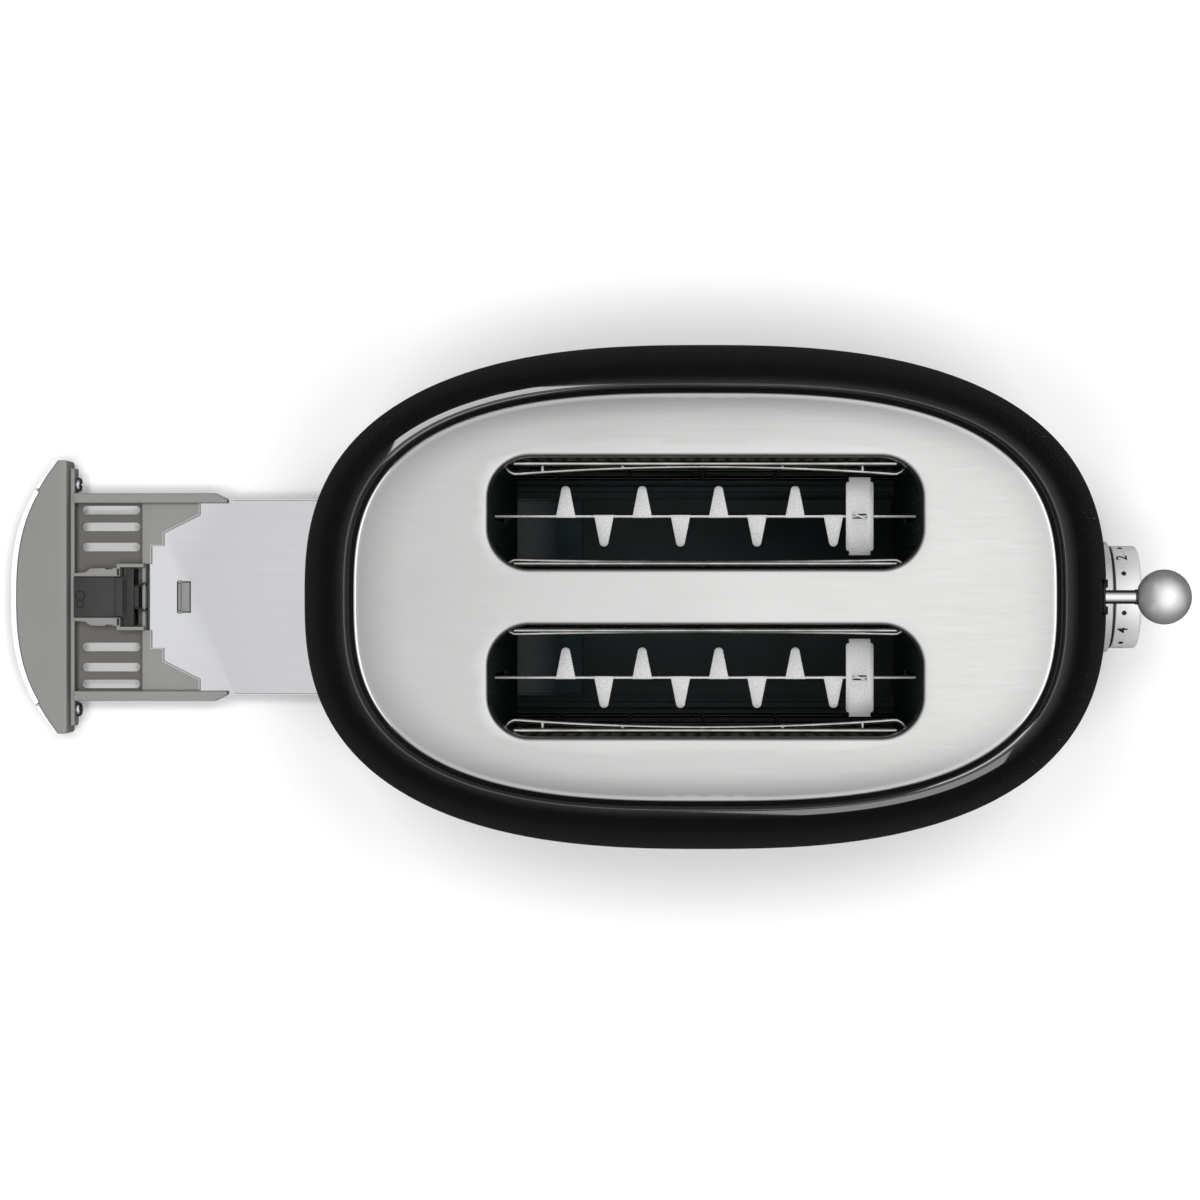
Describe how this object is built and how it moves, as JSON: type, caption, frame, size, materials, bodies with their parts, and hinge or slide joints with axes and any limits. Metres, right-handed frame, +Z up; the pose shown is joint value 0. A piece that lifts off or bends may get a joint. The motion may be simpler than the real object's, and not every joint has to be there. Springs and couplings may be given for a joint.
{
  "type": "two-slot toaster",
  "caption": "Oval pop-up toaster with a glossy shell, domed steel top with long bread slots, side lever, browning dial, buttons and a pull-out crumb tray.",
  "frame": {"origin": "centre of the whole object's footprint, tray pulled out, at the height the feet stand on", "axes": "+X towards the lever and dial end, +Z up, tray pulls out towards -X"},
  "size_m": [0.456, 0.195, 0.198],
  "materials": {
    "enamel": "high-gloss black enamel",
    "brushed_top": "satin stainless",
    "bright_metal": "polished bright metal",
    "black_plastic": "matt black moulding",
    "grey_plastic": "matt mid-grey moulding",
    "foot_rubber": "soft black rubber",
    "screw_steel": "zinc-plated steel",
    "dark_steel": "heat-darkened steel sheet",
    "wire_steel": "plain steel wire and strip",
    "core_iron": "ground soft iron",
    "copper_winding": "lacquered copper winding",
    "mica": "mica sheet with flat heater ribbon",
    "board_laminate": "green circuit board laminate",
    "pan_steel": "bright rolled steel sheet"
  },
  "bodies": {
    "toaster": {"body_shell": "enamel", "top_plate": "brushed_top", "base_ring": "bright_metal", "base_plate": "black_plastic", "foot_1": "foot_rubber", "foot_2": "foot_rubber", "foot_3": "foot_rubber", "foot_4": "foot_rubber", "base_screw_1": "screw_steel", "base_screw_2": "screw_steel", "base_screw_3": "screw_steel", "base_screw_4": "screw_steel", "end_plate_left": "dark_steel", "end_plate_right": "dark_steel", "reflector_front": "dark_steel", "reflector_rear": "dark_steel", "heater_front": "mica", "heater_centre": "mica", "heater_rear": "mica", "magnet_core": "core_iron", "magnet_coil": "copper_winding", "guide_rod": "screw_steel", "return_spring": "screw_steel", "lever_trim": "black_plastic", "dial_bezel": "bright_metal", "switch_1": "black_plastic", "switch_2": "black_plastic", "switch_3": "black_plastic", "control_board": "board_laminate", "potentiometer": "black_plastic", "cord_gland": "foot_rubber", "terminal_block": "grey_plastic", "tray_striker": "screw_steel"},
    "lever": {"lift_bar_front": "wire_steel", "lift_bar_rear": "wire_steel", "bread_pad_front": "wire_steel", "bread_pad_rear": "wire_steel", "carriage": "wire_steel", "armature": "core_iron", "lever_stem": "bright_metal", "lever_neck": "black_plastic", "lever_ball": "bright_metal"},
    "guard_front_outer": {"guard_front_outer": "wire_steel"},
    "guard_front_inner": {"guard_front_inner": "wire_steel"},
    "guard_rear_inner": {"guard_rear_inner": "wire_steel"},
    "guard_rear_outer": {"guard_rear_outer": "wire_steel"},
    "dial": {"dial": "bright_metal"},
    "push_button_1": {"push_button_1": "bright_metal"},
    "push_button_2": {"push_button_2": "bright_metal"},
    "push_button_3": {"push_button_3": "bright_metal"},
    "tray": {"tray_cover": "grey_plastic", "tray_skin": "bright_metal", "tray_frame": "grey_plastic", "crumb_pan": "pan_steel", "pan_clip": "grey_plastic", "latch_housing": "black_plastic", "tray_screw_1": "screw_steel", "tray_screw_2": "screw_steel"},
    "latch": {"latch_plunger": "black_plastic"}
  },
  "joints": [
    {"name": "lever_slide", "type": "slide", "parent": "toaster", "child": "lever", "axis": [0, 0, 1], "range_m": [-0.0488, 0], "stiffness_N_per_m": 60, "springref_m": 0.05, "deforming": ["return_spring"]},
    {"name": "guard_front_outer_hinge", "type": "hinge", "parent": "toaster", "child": "guard_front_outer", "pos_m": [0.05165, -0.0465, 0.05], "axis": [-1, 0, 0], "range_deg": [0, 2.3]},
    {"name": "guard_front_inner_hinge", "type": "hinge", "parent": "toaster", "child": "guard_front_inner", "pos_m": [0.05165, -0.0115, 0.05], "axis": [1, 0, 0], "range_deg": [0, 2.3]},
    {"name": "guard_rear_inner_hinge", "type": "hinge", "parent": "toaster", "child": "guard_rear_inner", "pos_m": [0.05165, 0.0115, 0.05], "axis": [-1, 0, 0], "range_deg": [0, 2.3]},
    {"name": "guard_rear_outer_hinge", "type": "hinge", "parent": "toaster", "child": "guard_rear_outer", "pos_m": [0.05165, 0.0465, 0.05], "axis": [1, 0, 0], "range_deg": [0, 2.3]},
    {"name": "dial_turn", "type": "hinge", "parent": "toaster", "child": "dial", "pos_m": [0.20665, 0, 0.056], "axis": [-1, 0, 0], "range_deg": [-90, 135]},
    {"name": "push_button_1_press", "type": "slide", "parent": "toaster", "child": "push_button_1", "axis": [-1, 0, 0], "range_m": [0, 0.002], "stiffness_N_per_m": 400, "springref_m": -0.002},
    {"name": "push_button_2_press", "type": "slide", "parent": "toaster", "child": "push_button_2", "axis": [-1, 0, 0], "range_m": [0, 0.002], "stiffness_N_per_m": 400, "springref_m": -0.002},
    {"name": "push_button_3_press", "type": "slide", "parent": "toaster", "child": "push_button_3", "axis": [-1, 0, 0], "range_m": [0, 0.002], "stiffness_N_per_m": 400, "springref_m": -0.002},
    {"name": "tray_slide", "type": "slide", "parent": "toaster", "child": "tray", "axis": [-1, 0, 0], "range_m": [-0.1346, 0.068]},
    {"name": "latch_press", "type": "slide", "parent": "tray", "child": "latch", "axis": [-1, 0, 0], "range_m": [0, 0.0025], "stiffness_N_per_m": 400, "springref_m": -0.002}
  ],
  "couplings": [
    {"joint": "guard_front_outer_hinge", "follows": "lever_slide", "rad_per_m": -0.7868},
    {"joint": "guard_front_inner_hinge", "follows": "lever_slide", "rad_per_m": -0.7868},
    {"joint": "guard_rear_inner_hinge", "follows": "lever_slide", "rad_per_m": -0.7868},
    {"joint": "guard_rear_outer_hinge", "follows": "lever_slide", "rad_per_m": -0.7868}
  ]
}
